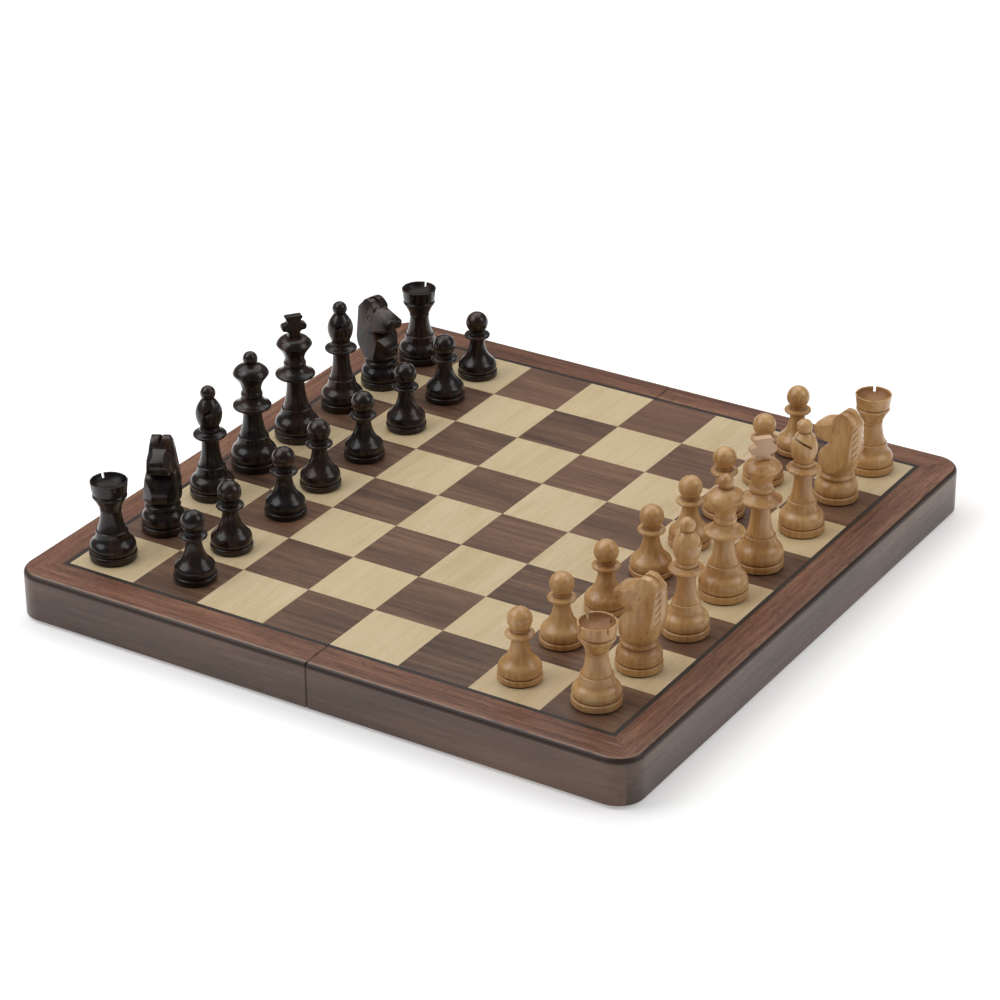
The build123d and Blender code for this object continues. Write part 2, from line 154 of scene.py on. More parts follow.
def grain(finish, place, along, scales):
    # streaks, fine lines and short open pores, all drawn out along one axis
    def drawn(key):
        amounts = [scales[key][1]] * 3
        amounts[along] = scales[key][0]
        return amounts
    drift = finish.noise(finish.stretched(place, drawn("drift")), 2.0, 0.5, "Color")
    sway = finish.stretched(finish.shifted(drift, (-0.5, -0.5, -0.5)), (scales["sway"],) * 3)
    bent = finish.shifted(place, sway)
    streaks = finish.noise(finish.stretched(bent, drawn("streaks")), 4.0, 0.6)
    lines = finish.noise(finish.stretched(bent, drawn("lines")), 3.0, 0.6)
    pores = finish.noise(finish.stretched(bent, drawn("pores")), 2.0, 0.5)
    slow = finish.noise(finish.stretched(place, drawn("slow")), 2.0, 0.5)
    return streaks, lines, pores, slow


walnutRail = {
    "top": (linear(84, 51, 36), linear(123, 82, 62), linear(156, 113, 88)),
    "side": (linear(64, 43, 33), linear(91, 66, 51), linear(114, 86, 67)),
    # the last colour is a painted reflection: a dark band for the rounded shoulder
    "pore": linear(54, 32, 22), "edge": linear(160, 122, 94), "shoulderDarkReflection": linear(44, 28, 21),
    "scales": {"drift": (14, 70), "sway": 0.0035, "streaks": (16, 420), "lines": (60, 1500),
               "pores": (260, 2200), "slow": (7, 40)},
    # heights in metres: the rounded shoulder, the veneer's pale edge, the flat top
    "shoulder": (0.0252, 0.0256), "veneer": (0.02812, 0.02822), "flat": (0.02846, 0.02858),
}


def railFinish(name, along):
    look = walnutRail
    finish = Finish(name)
    place = finish.place()
    streaks, lines, pores, slow = grain(finish, place, along, look["scales"])
    tone = streaks * 0.5 + lines * 0.3 + slow * 0.34 - 0.08
    top = finish.ramp(tone, list(zip((0.36, 0.5, 0.66), look["top"])))
    side = finish.ramp(streaks * 0.3 + slow * 0.66 + 0.01, list(zip((0.34, 0.5, 0.68), look["side"])))
    height = finish.node("ShaderNodeSeparateXYZ", None, {0: place}, 2)
    flat = finish.band(height, *look["flat"])
    aboveVeneer = finish.band(height, *look["veneer"])
    shoulder = finish.band(height, *look["shoulder"]) * (1 - aboveVeneer)
    wear = finish.band(finish.noise(finish.stretched(place, (60, 60, 60))), 0.3, 0.5)
    worn = aboveVeneer * (1 - flat) * wear
    open = finish.band(pores, 0.57, 0.66)
    colour = finish.mix(flat, side, top)
    colour = finish.mix(open * (0.2 + flat * 0.4), colour, look["pore"])
    # painted reflection: the rounded shoulder is darkened as if it mirrored a dark part of the room
    colour = finish.mix(shoulder * 0.86, colour, look["shoulderDarkReflection"])
    colour = finish.mix(worn * 0.6, colour, look["edge"])
    relief = lines * 0.4 + streaks * 0.3 - open * 0.9
    return finish.surface({
        "Base Color": colour,
        "Roughness": 0.36 + flat * 0.06 + lines * 0.12 + open * 0.12,
        "Coat Weight": 0.4 - flat * 0.2 - shoulder * 0.25, "Coat Roughness": 0.26, "Specular IOR Level": 0.35,
        "Normal": finish.bump(relief * (0.35 + flat * 0.65), 0.00006, 0.6),
    })


squareWoods = {
    "dark": {
        "along": 0,
        "deep": linear(66, 44, 31), "middle": linear(101, 73, 54), "pale": linear(136, 104, 80),
        "pore": linear(48, 31, 22), "poreShare": 0.55, "change": 0.26,
        "warm": linear(118, 84, 64), "warmShare": 0.35,
        "scales": {"drift": (10, 45), "sway": 0.005, "streaks": (14, 330), "lines": (50, 1400),
                   "pores": (200, 2600), "slow": (9, 60)},
    },
    "light": {
        "along": 1,
        "deep": linear(200, 176, 134), "middle": linear(209, 188, 149), "pale": linear(216, 197, 161),
        "pore": linear(176, 144, 98), "poreShare": 0.28, "change": 0.07,
        "warm": linear(206, 184, 146), "warmShare": 0.4,
        "scales": {"drift": (12, 30), "sway": 0.006, "streaks": (15, 190), "lines": (60, 900),
                   "pores": (220, 2000), "slow": (16, 44)},
    },
}


def squareFinish(name, look):
    finish = Finish(name)
    place = finish.place()
    # every square is cut from another place in the veneer
    counted = finish.stretched(place, (1 / square, 1 / square, 0))
    cell = finish.node("ShaderNodeVectorMath", {"operation": "FLOOR"}, {0: counted})
    chance = finish.node("ShaderNodeTexWhiteNoise", {"noise_dimensions": "3D"}, {"Vector": cell}, "Color")
    shade = finish.node("ShaderNodeTexWhiteNoise", {"noise_dimensions": "3D"},
                        {"Vector": finish.shifted(cell, (7.3, 2.9, 0.0))}, "Value")
    leaf = finish.shifted(place, finish.stretched(chance, (0.9, 0.7, 0.3)))
    streaks, lines, pores, slow = grain(finish, leaf, look["along"], look["scales"])
    tone = streaks * 0.55 + lines * 0.28 + slow * 0.34 - 0.09
    colour = finish.ramp(tone, [(0.36, look["deep"]), (0.5, look["middle"]), (0.66, look["pale"])])
    open = finish.band(pores, 0.58, 0.68)
    colour = finish.mix(open * look["poreShare"], colour, look["pore"])
    colour = finish.mix(shade * look["warmShare"], colour, look["warm"], "MIX")
    light = 1 - look["change"] / 2 + shade * look["change"]
    grey = finish.node("ShaderNodeCombineColor", None, {0: light, 1: light, 2: light})
    colour = finish.mix(1.0, colour, grey, "MULTIPLY")
    relief = lines * 0.35 + streaks * 0.25 - open * 0.8
    return finish.surface({
        "Base Color": colour,
        "Roughness": 0.42 + lines * 0.12 + open * 0.12,
        "Coat Weight": 0.22, "Coat Roughness": 0.28, "Specular IOR Level": 0.4,
        "Normal": finish.bump(relief, 0.00005, 0.5),
    })


plainWoods = {
    "blackLine": {"deep": linear(22, 15, 11), "pale": linear(50, 35, 26), "rough": 0.5, "coat": 0.05},
    "plywood": {"deep": linear(150, 118, 82), "pale": linear(196, 166, 124), "rough": 0.6, "coat": 0.0},
}


def plainFinish(name, look, along):
    finish = Finish(name)
    place = finish.place()
    streaks, lines, pores, _ = grain(finish, place, along, squareWoods["dark"]["scales"])
    colour = finish.ramp(streaks * 0.5 + lines * 0.5, [(0.35, look["deep"]), (0.65, look["pale"])])
    return finish.surface({
        "Base Color": colour,
        "Roughness": look["rough"] + (lines - 0.5) * 0.2,
        "Coat Weight": look["coat"], "Coat Roughness": 0.25,
        "Normal": finish.bump(lines - finish.band(pores, 0.58, 0.68) * 0.6, 0.00005, 0.5),
    })


feltLook = {"deep": linear(20, 26, 22), "pale": linear(52, 64, 54), "fuzz": 2600, "patches": 180}


def feltFinish(name, look):
    finish = Finish(name)
    place = finish.place()
    fuzz = finish.noise(finish.stretched(place, (look["fuzz"],) * 3), 4.0, 0.7)
    patches = finish.noise(finish.stretched(place, (look["patches"],) * 3), 3.0, 0.6)
    colour = finish.ramp(fuzz * 0.7 + patches * 0.3, [(0.3, look["deep"]), (0.7, look["pale"])])
    return finish.surface({
        "Base Color": colour, "Roughness": 0.88 + fuzz * 0.1, "Specular IOR Level": 0.2,
        "Sheen Weight": 0.4, "Sheen Roughness": 0.5,
        "Normal": finish.bump(fuzz, 0.00025, 0.8),
    })


metals = {
    "brass": {"deep": linear(148, 112, 58), "pale": linear(206, 170, 104), "rough": 0.3},
    "steel": {"deep": linear(128, 130, 134), "pale": linear(188, 190, 194), "rough": 0.32},
}


def metalFinish(name, look):
    finish = Finish(name)
    place = finish.place()
    brushed = finish.noise(finish.stretched(place, (300, 6000, 6000)), 3.0, 0.6)
    tarnish = finish.noise(finish.stretched(place, (320,) * 3), 4.0, 0.65)
    colour = finish.ramp(brushed * 0.35 + tarnish * 0.65, [(0.35, look["deep"]), (0.62, look["pale"])])
    return finish.surface({
        "Base Color": colour, "Metallic": 1.0,
        "Roughness": look["rough"] + (tarnish - 0.5) * 0.35,
        "Normal": finish.bump(brushed, 0.00002, 0.5),
    })


menWoods = {
    # in each, the hollow colour is painted shade for grooves and cuts, mixed in at its share
    "white": {
        "deep": linear(166, 116, 64), "middle": linear(194, 149, 93), "pale": linear(213, 173, 118),
        "hollow": linear(122, 72, 30), "hollowShadeShare": 0.85, "raw": linear(214, 176, 142), "rawShare": 0.8,
        "streakShare": 0.4, "coat": 0.8, "coatRough": 0.2, "coatIor": 1.42, "rough": 0.45, "shine": 0.4,
    },
    "black": {
        "deep": linear(12, 8, 7), "middle": linear(26, 16, 12), "pale": linear(62, 36, 22),
        "hollow": linear(8, 5, 4), "hollowShadeShare": 0.5, "raw": linear(26, 17, 14), "rawShare": 0.6,
        "streakShare": 0.55, "coat": 0.9, "coatRough": 0.13, "coatIor": 1.32, "rough": 0.36, "shine": 0.22,
    },
}


def manFinish(name, look):
    finish = Finish(name)
    place = finish.place()
    streaks, lines, pores, slow = grain(finish, place, 2, {
        "drift": (30, 90), "sway": 0.002, "streaks": (26, 420), "lines": (90, 1700),
        "pores": (420, 3200), "slow": (38, 62)})
    tone = 0.5 + (streaks - 0.5) * look["streakShare"] + (lines - 0.5) * 0.12 + (slow - 0.5) * 0.6
    colour = finish.ramp(tone, [(0.36, look["deep"]), (0.5, look["middle"]), (0.66, look["pale"])])
    open = finish.band(pores, 0.6, 0.68)
    colour = finish.mix(open * 0.35, colour, look["deep"])
    hollow = finish.node("ShaderNodeAttribute", {"attribute_name": "hollow"}, None, "Fac")
    # painted shade: grooves and cuts are darkened where shade would fall in them
    colour = finish.mix(hollow * look["hollowShadeShare"], colour, look["hollow"])
    raw = finish.node("ShaderNodeAttribute", {"attribute_name": "raw"}, None, "Fac")
    colour = finish.mix(raw * look["rawShare"], colour, look["raw"])
    # faint rings left by the lathe under the lacquer
    rings = finish.noise(finish.stretched(place, (40, 40, 2600)), 2.0, 0.5)
    ripple = finish.noise(finish.stretched(place, (210, 210, 160)), 2.0, 0.5)
    relief = rings * 0.4 + ripple * 0.9 - open * 0.2
    return finish.surface({
        "Base Color": colour,
        "Roughness": look["rough"] + (lines - 0.5) * 0.15 + hollow * 0.2, "Specular IOR Level": look["shine"],
        "Coat Weight": (1 - hollow * 0.85) * look["coat"], "Coat Roughness": look["coatRough"],
        "Coat IOR": look["coatIor"],
        "Normal": finish.bump(relief, 0.00008, 0.35),
    })


railFinishes = {0: railFinish("walnutRailAlongBoard", 0), 1: railFinish("walnutRailAcrossBoard", 1)}
finishes = {
    "light_squares": squareFinish("mapleSquares", squareWoods["light"]),
    "dark_squares": squareFinish("walnutSquares", squareWoods["dark"]),
    "inlay": plainFinish("blackLineInlay", plainWoods["blackLine"], 0),
    "panel": plainFinish("plywoodPanel", plainWoods["plywood"], 1),
    "lining": feltFinish("greenLining", dict(feltLook, deep=linear(24, 48, 34), pale=linear(46, 82, 58))),
    "magnets": metalFinish("platedMagnet", metals["steel"]),
    "hinge_leaves": metalFinish("brassHinge", metals["brass"]),
    "hinge_screws": metalFinish("brassScrew", metals["brass"]),
    "hinge_pins": metalFinish("steelPin", metals["steel"]),
    "end_rail": railFinishes[1], "hinge_rail": railFinishes[1],
    "near_rail": railFinishes[0], "far_rail": railFinishes[0],
    "white": manFinish("honeyLacquer", menWoods["white"]),
    "black": manFinish("darkLacquer", menWoods["black"]),
    "felt": feltFinish("footFelt", feltLook),
}
print("finishes made")


def dress(node, finish):
    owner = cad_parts[node]
    if not owner.material_slots:
        owner.data.materials.append(finish)
    for slot in owner.material_slots:
        slot.material = finish


for half in ("black", "white"):
    for kind in ("end_rail", "near_rail", "far_rail", "hinge_rail", "panel", "light_squares", "dark_squares",
                 "inlay", "lining", "magnets", "hinge_leaves", "hinge_screws"):
        dress(half + "_" + kind, finishes[kind])
dress("hinge_pins", finishes["hinge_pins"])
print("board dressed")


# ---- modelling helpers ----

def clearPick():
    if bpy.context.mode != "OBJECT":
        bpy.ops.object.mode_set(mode="OBJECT")
    bpy.ops.object.select_all(action="DESELECT")


def choose(piece):
    clearPick()
    piece.select_set(True)
    bpy.context.view_layer.objects.active = piece


def openEdit(piece):
    choose(piece)
    bpy.ops.object.mode_set(mode="EDIT")
    bpy.ops.mesh.select_all(action="SELECT")


def arcPoints(a, b, c):
    # points round the circle through a, b and c
    ax, ay, bx, by, cx, cy = *a, *b, *c
    d = 2 * (ax * (by - cy) + bx * (cy - ay) + cx * (ay - by))
    aa, bb, cc = ax * ax + ay * ay, bx * bx + by * by, cx * cx + cy * cy
    ux = (aa * (by - cy) + bb * (cy - ay) + cc * (ay - by)) / d
    uy = (aa * (cx - bx) + bb * (ax - cx) + cc * (bx - ax)) / d
    radius = math.hypot(ax - ux, ay - uy)
    turns = [math.atan2(y - uy, x - ux) for x, y in (a, b, c)]
    way = 1 if math.sin(turns[1] - turns[0]) > 0 else -1
    sweep = (way * (turns[2] - turns[0])) % (2 * math.pi)
    steps = max(4, math.ceil(math.degrees(sweep) / 8))
    spots = [turns[0] + way * sweep * k / steps for k in range(steps + 1)]
    return [(ux + radius * math.cos(t), uy + radius * math.sin(t)) for t in spots]


def curvePoints(points, gap):
    # a smooth curve through all the points
    ends = [tuple(2 * end[k] - inner[k] for k in (0, 1))
            for end, inner in ((points[0], points[1]), (points[-1], points[-2]))]
    run = [ends[0], *points, ends[1]]
    made = [points[0]]
    for p0, p1, p2, p3 in zip(run, run[1:], run[2:], run[3:]):
        steps = max(1, round(math.dist(p1, p2) / gap))
        for k in range(1, steps + 1):
            t = k / steps
            made.append(tuple(
                0.5 * (2 * p1[i] + (p2[i] - p0[i]) * t + (2 * p0[i] - 5 * p1[i] + 4 * p2[i] - p3[i]) * t * t
                       + (3 * p1[i] - p0[i] - 3 * p2[i] + p3[i]) * t ** 3) for i in (0, 1)))
    return made


def outlinePoints(stretches, soft=0.16, gap=0.9):
    # lines, arcs and curves as one run of points, with every sharp corner eased
    run = []
    for stretch in stretches:
        if len(stretch) == 2:
            points = list(stretch)
        elif len(stretch) == 3:
            points = arcPoints(*stretch)
        else:
            points = curvePoints(stretch, gap)
        run += points if not run else points[1:]
    eased = [run[0]]
    for before, corner, after in zip(run, run[1:], run[2:]):
        inward = Vector(before) - Vector(corner)
        outward = Vector(after) - Vector(corner)
        bend = math.degrees((-inward).angle(outward))
        if bend < 18:
            eased.append(corner)
            continue
        near = min(soft, inward.length * 0.4, outward.length * 0.4)
        first = Vector(corner) + inward.normalized() * near
        second = Vector(corner) + outward.normalized() * near
        middle = (first + second) / 4 + Vector(corner) / 2
        eased += [tuple(first), tuple(middle), tuple(second)]
    eased.append(run[-1])
    return eased


def drawRun(name, points, closed=False):
    # a plane is merged to one corner, and that corner is drawn out from point to point
    clearPick()
    bpy.ops.mesh.primitive_plane_add(size=0.01, location=(0, 0, 0))
    piece = bpy.context.object
    piece.name = name
    openEdit(piece)
    bpy.ops.mesh.merge(type="CENTER")
    bpy.ops.transform.translate(value=points[0])
    for before, after in zip(points, points[1:]):
        step = [after[k] - before[k] for k in range(3)]
        bpy.ops.mesh.extrude_vertices_move(TRANSFORM_OT_translate={"value": step})
    if closed:
        bpy.ops.mesh.select_all(action="SELECT")
        bpy.ops.mesh.edge_face_add()
    return piece


def turnedPiece(name, stretches, steps=88, **ease):
    # the outline is spun about the upright axis
    run = outlinePoints(stretches, **ease)
    points = [(r * mm, 0, z * mm) for r, z in run]
    points = [(0, 0, points[0][2])] + points + ([(0, 0, points[-1][2])] if points[-1][0] > 1e-7 else [])
    piece = drawRun(name, points)
    bpy.ops.mesh.select_all(action="SELECT")
    bpy.ops.mesh.spin(steps=steps, angle=2 * math.pi, center=(0, 0, 0), axis=(0, 0, 1))
    bpy.ops.mesh.select_all(action="SELECT")
    bpy.ops.mesh.remove_doubles(threshold=0.000002)
    bpy.ops.mesh.normals_make_consistent(inside=False)
    bpy.ops.object.mode_set(mode="OBJECT")
    markHollows(piece, run)
    return piece


def markHollows(piece, run):
    # how deep each point lies in a groove, for the finish to paint shade there and dull the lacquer
    depths = []
    for k, (r, z) in enumerate(run):
        total = 0.0
        for j in range(1, len(run) - 1):
            reach = math.dist(run[j], run[k])
            if reach < 0.9:
                a = Vector(run[j]) - Vector(run[j - 1])
                b = Vector(run[j + 1]) - Vector(run[j])
                total -= (a.x * b.y - a.y * b.x) / (a.length * b.length + 1e-12) * (1 - reach / 0.9)
        depths.append(max(0.0, min(1.0, total)))
    hollow = piece.data.attributes.new("hollow", "FLOAT", "POINT")
    for vertex, value in zip(piece.data.vertices, hollow.data):
        spot = (math.hypot(vertex.co.x, vertex.co.y) / mm, vertex.co.z / mm)
        nearest = min(range(len(run)), key=lambda k: math.dist(run[k], spot))
        value.value = depths[nearest] if math.dist(run[nearest], spot) < 1.2 else 0.0


def withCutShade(piece, share=1.0):
    # sets the share of painted shade, and of duller lacquer, on this piece; a cutting tool hands it on to the
    # faces it cuts
    hollow = piece.data.attributes.get("hollow")
    if hollow is None:
        hollow = piece.data.attributes.new("hollow", "FLOAT", "POINT")
    for value in hollow.data:
        value.value = share
    return piece


def boxBetween(name, low, high):
    clearPick()
    middle = [(a + b) / 2 * mm for a, b in zip(low, high)]
    bpy.ops.mesh.primitive_cube_add(size=1, location=middle, scale=[(b - a) * mm for a, b in zip(low, high)])
    piece = bpy.context.object
    piece.name = name
    bpy.ops.object.transform_apply(location=True, rotation=True, scale=True)
    return piece


def turnPiece(piece, angle, axis):
    # turned about the origin, and left unturned as an object
    piece.data.transform(Matrix.Rotation(math.radians(angle), 4, axis))
    return piece


def joined(pieces):
    choose(pieces[0])
    for piece in pieces[1:]:
        piece.select_set(True)
    bpy.ops.object.join()
    return pieces[0]


def combine(piece, tool, way):
    # the tool is cut from, added to or kept with the piece, then thrown away
    choose(piece)
    cut = piece.modifiers.new(way, "BOOLEAN")
    cut.operation, cut.object, cut.solver = way, tool, "EXACT"
    bpy.ops.object.modifier_apply(modifier=cut.name)
    bpy.data.objects.remove(tool)
    return piece


def easeEdges(piece, width, angle=35, segments=2):
    choose(piece)
    ease = piece.modifiers.new("ease", "BEVEL")
    ease.width, ease.segments, ease.limit_method = width * mm, segments, "ANGLE"
    ease.angle_limit, ease.use_clamp_overlap = math.radians(angle), True
    bpy.ops.object.modifier_apply(modifier=ease.name)
    return piece


def smooth(piece, angle=32):
    choose(piece)
    bpy.ops.object.shade_smooth_by_angle(angle=math.radians(angle))
    return piece


def slab(point, normal, forward, length, width, depth):
    # a block whose inner face lies on a plane, for planing facets off a piece
    up = Vector(normal).normalized()
    along = Vector(forward) - up * Vector(forward).dot(up)
    along.normalize()
    side = up.cross(along)
    block = boxBetween("slab", (0, -width / 2, 0), (length, width / 2, depth))
    turn = Matrix((along, side, up)).transposed().to_4x4()
    block.data.transform(Matrix.Translation(Vector(point) * mm) @ turn)
    return block


# ---- the men ----

def plinth(radius, groove):
    return [
        [(radius - 0.5, 0.6), (radius - 0.15, 0.75), (radius, 1.1)],
        [(radius, 1.1), (radius, groove - 0.9)],
        [(radius, groove - 0.9), (radius - 0.12, groove - 0.5), (radius - 0.45, groove - 0.25)],
        [(radius - 0.45, groove - 0.25), (radius - 1.1, groove)],
    ]


def ballOn(radius, middle, neck, base):
    low = middle - math.sqrt(radius ** 2 - neck ** 2)
    return [[(neck, base), (neck, low)], [(neck, low), (radius, middle), (0.0, middle + radius)]]


pawn = {
    "foot": 11.7,
    "outline": plinth(11.7, 3.9) + [
        [(10.6, 3.9), (11.05, 4.5), (11.3, 5.6), (11.25, 7.2), (10.85, 8.7), (10.0, 9.8)],
        [(10.0, 9.8), (8.9, 10.9), (7.6, 12.3), (6.2, 14.6), (5.1, 17.6), (4.45, 20.4), (4.3, 22.6),
         (4.5, 24.4)],
        [(4.5, 24.4), (5.4, 24.6), (6.8, 24.95)],
        [(6.8, 24.95), (7.6, 25.85), (6.9, 26.75)],
        [(6.9, 26.75), (5.6, 27.1), (4.7, 27.3)],
        [(4.7, 27.3), (4.4, 27.9)],
    ] + ballOn(6.5, 33.95, 4.4, 27.9),
}

bishop = {
    "foot": 12.7, "kerf": 1.2, "kerfSlant": 30, "kerfAt": (-1.8, 0, 51.8),
    "outline": plinth(12.7, 4.8) + [
        [(11.6, 4.8), (12.1, 5.5), (12.4, 6.9), (12.2, 9.0), (11.3, 10.9), (10.0, 12.2)],
        [(10.0, 12.2), (9.1, 13.2), (8.5, 14.8), (8.0, 16.8), (7.8, 18.3)],
        [(7.8, 18.3), (7.2, 18.55)],
        [(7.2, 18.55), (6.5, 20.4), (5.9, 22.8), (5.4, 25.6), (5.05, 28.6), (4.9, 31.6), (4.95, 34.4),
         (5.2, 35.8)],
        [(5.2, 35.8), (6.6, 36.1), (8.5, 36.35)],
        [(8.5, 36.35), (9.35, 37.25), (8.6, 38.15)],
        [(8.6, 38.15), (7.0, 38.7), (5.6, 39.5)],
        [(5.6, 39.5), (5.75, 40.4), (5.45, 41.3)],
        [(5.45, 41.3), (5.15, 41.7)],
        [(5.15, 41.7), (5.7, 43.3), (6.5, 45.0), (7.1, 47.1), (7.4, 49.6), (7.2, 52.0), (6.5, 54.2),
         (5.4, 56.2), (4.3, 57.8), (3.4, 58.9)],
        [(3.4, 58.9), (3.2, 59.3)],
    ] + ballOn(4.25, 62.15, 3.2, 59.3),
}

queen = {
    "foot": 13.4,
    "outline": plinth(13.4, 4.9) + [
        [(12.3, 4.9), (12.9, 5.7), (13.2, 7.2), (13.05, 9.4), (12.3, 11.4), (11.2, 12.9)],
        [(11.2, 12.9), (10.1, 14.2), (9.3, 15.9), (8.8, 17.7), (8.6, 19.1)],
        [(8.6, 19.1), (7.9, 19.35)],
        [(7.9, 19.35), (7.2, 21.4), (6.5, 23.8), (5.95, 26.6), (5.55, 29.6), (5.4, 32.4), (5.5, 34.6),
         (5.8, 35.8)],
        [(5.8, 35.8), (7.6, 36.2), (9.9, 36.6)],
        [(9.9, 36.6), (10.9, 37.7), (10.1, 38.75)],
        [(10.1, 38.75), (8.2, 39.8), (6.8, 41.2), (5.85, 43.4)],
        [(5.85, 43.4), (6.2, 45.0), (5.6, 46.5)],
        [(5.6, 46.5), (5.45, 47.5), (5.7, 49.4), (6.4, 51.6), (7.6, 53.7), (9.1, 55.6), (9.9, 56.8)],
        [(9.9, 56.8), (10.15, 57.5), (9.9, 58.2)],
        [(9.9, 58.2), (9.5, 59.2), (8.2, 60.7), (6.2, 62.0), (4.4, 62.7), (3.5, 63.2)],
    ] + ballOn(4.2, 66.3, 3.5, 63.2),
}

king = {
    "foot": 13.2, "crossThickness": 4.4, "rawAbove": 63.4,
    "outline": plinth(13.2, 4.9) + [
        [(12.1, 4.9), (12.7, 5.7), (13.0, 7.2), (12.85, 9.4), (12.1, 11.4), (11.0, 12.9)],
        [(11.0, 12.9), (9.9, 14.2), (9.1, 15.8), (8.6, 17.4), (8.4, 18.7)],
        [(8.4, 18.7), (7.7, 18.95)],
        [(7.7, 18.95), (7.0, 21.2), (6.3, 24.0), (5.75, 27.0), (5.35, 30.2), (5.15, 33.2), (5.2, 36.0),
         (5.6, 37.6)],
        [(5.6, 37.6), (7.8, 38.1), (10.4, 38.5)],
        [(10.4, 38.5), (11.45, 39.65), (10.6, 40.75)],
        [(10.6, 40.75), (8.6, 41.9), (7.1, 43.2), (6.05, 44.9)],
        [(6.05, 44.9), (6.5, 46.5), (5.9, 48.0)],
        [(5.9, 48.0), (5.6, 49.4), (5.85, 51.0), (6.6, 52.9), (7.8, 54.8), (9.2, 56.6), (9.95, 57.7)],
        [(9.95, 57.7), (10.2, 58.4), (9.95, 59.1)],
        [(9.95, 59.1), (9.5, 60.0), (8.1, 61.5), (6.2, 62.6), (4.4, 63.0)],
    ],
    "cross": [(4.1, 62.0), (3.4, 64.4), (3.4, 65.9), (4.4, 66.8), (6.0, 67.1), (7.0, 67.8), (7.3, 69.1),
              (7.0, 70.4), (6.0, 71.1), (4.6, 71.4), (3.9, 72.2), (4.1, 73.4), (4.9, 74.6),
              (5.0, 75.4), (4.4, 76.0)],
}

rook = {
    "foot": 13.0, "slotWidth": 1.4, "slotDepth": 3.2, "top": 46.2, "bowlAbove": 41.3, "bowlRadius": 9.25,
    "bowlDullAndShade": 0.8,
    "outline": plinth(13.0, 4.7) + [
        [(11.9, 4.7), (12.4, 5.4), (12.65, 6.8), (12.4, 8.7), (11.5, 10.3), (10.3, 11.6)],
        [(10.3, 11.6), (9.5, 12.7), (9.0, 14.2), (8.7, 15.7), (8.6, 16.8)],
        [(8.6, 16.8), (7.95, 17.05)],
        [(7.95, 17.05), (7.2, 19.2), (6.5, 21.8), (6.0, 24.4), (5.7, 27.0), (5.6, 29.0)],
        [(5.6, 29.0), (5.95, 29.5), (5.65, 30.0)],
        [(5.65, 30.0), (6.3, 31.4), (7.2, 33.3), (8.3, 35.3), (9.2, 36.7)],
        [(9.2, 36.7), (9.45, 37.6), (9.1, 38.3)],
        [(9.1, 38.3), (8.6, 38.8)],
        [(8.6, 38.8), (9.4, 39.3)],
        [(9.4, 39.3), (9.75, 42.6), (10.15, 45.7)],
        [(10.15, 45.7), (10.1, 46.1), (9.8, 46.2)],
        [(9.8, 46.2), (9.3, 46.2)],
        [(9.3, 46.2), (8.6, 44.4), (6.9, 42.7), (4.6, 41.8), (2.2, 41.5)],
        [(2.2, 41.5), (0.0, 41.5)],
    ],
}

knight = {
    "foot": 12.4,
    "outline": plinth(12.4, 4.7) + [
        [(11.3, 4.7), (11.8, 5.4), (12.05, 6.8), (11.95, 8.6), (11.4, 10.3), (10.6, 11.5)],
        [(10.6, 11.5), (9.9, 12.3), (9.4, 13.1), (9.2, 14.0)],
        [(9.2, 14.0), (9.9, 15.2), (9.2, 16.4)],
        [(9.2, 16.4), (8.7, 17.4)],
    ],
    # the head's side outline, nose towards +X
    "head": [
        [(7.8, 16.8), (9.6, 20.6), (10.0, 24.0), (8.9, 27.8), (5.6, 32.0), (0.9, 36.0)],
        [(0.9, 36.0), (3.6, 36.1), (6.8, 36.6), (9.8, 37.2)],
        [(9.8, 37.2), (11.3, 38.5), (12.1, 41.0), (12.0, 43.6), (11.0, 45.2)],
        [(11.0, 45.2), (7.6, 47.4), (4.0, 48.4), (1.2, 48.8)],
        [(1.2, 48.8), (-0.4, 51.2), (-2.6, 53.4)],
        [(-2.6, 53.4), (-5.0, 53.9), (-8.6, 53.1), (-11.6, 50.8), (-13.4, 47.0), (-14.0, 42.0), (-13.9, 35.0),
         (-13.3, 28.0), (-12.0, 22.5), (-9.8, 19.0), (-8.2, 16.8)],
    ],
    # the turned outline that the head is carved from
    "envelope": [
        [(8.5, 16.5), (8.8, 17.4)],
        [(8.8, 17.4), (9.8, 18.6), (10.8, 20.2), (12.0, 23.0), (15.0, 32.0), (19.0, 60.0)],
    ],
    # flats planed off both sides: a point, the way the flat faces, the way it runs, length, width, depth
    "flats": [
        ((-20, 10.6, 18.0), (0, 1, 0.155), (1, 0, 0), 50, 120, 9),
        ((-5.8, 10.2, 5.0), (-79.9, 32.3, -15.4), (0, 0, 1), 80, 60, 14),
        ((-12.2, 8.0, 5.0), (-57.6, 22.4, 1.2), (0, 0, 1), 80, 60, 14),
        ((-30.1, 5.8, 30.0), (-25.0, 14.5, 24.6), (0, 0, 1), 80, 60, 14),
        ((3.6, 10.3, 15.0), (59.5, 62.9, 1.1), (0, 0, 1), 21.2, 30, 9),
        ((0.3, 6.7, 46.3), (0.253, 0.684, 0.684), (1, 0, 0), 20, 14, 9),
        ((3.0, 6.9, 35.0), (0.13, 0.992, 0), (0, 0, 1), 18, 30, 6),
    ],
    "eye": (-2.0, 6.75, 43.6), "eyeRing": 1.8, "eyeCut": 0.42, "faceLean": 8.8,
    "maneAt": (-12.6, 4.3, 30.4), "maneAngle": 68,
    "maneCuts": 5, "maneGap": 3.9,
}


def makePawn():
    return smooth(turnedPiece("pawnModel", pawn["outline"]))


def makeQueen():
    return smooth(turnedPiece("queenModel", queen["outline"]))


def makeBishop():
    body = turnedPiece("bishopModel", bishop["outline"])
    width = bishop["kerf"]
    saw = boxBetween("kerf", (0, -9, -width / 2), (12, 9, width / 2))
    turnPiece(saw, -bishop["kerfSlant"], "Y")
    saw.data.transform(Matrix.Translation(Vector(bishop["kerfAt"]) * mm))
    combine(body, saw, "DIFFERENCE")
    return smooth(easeEdges(body, 0.1, 50, 1))


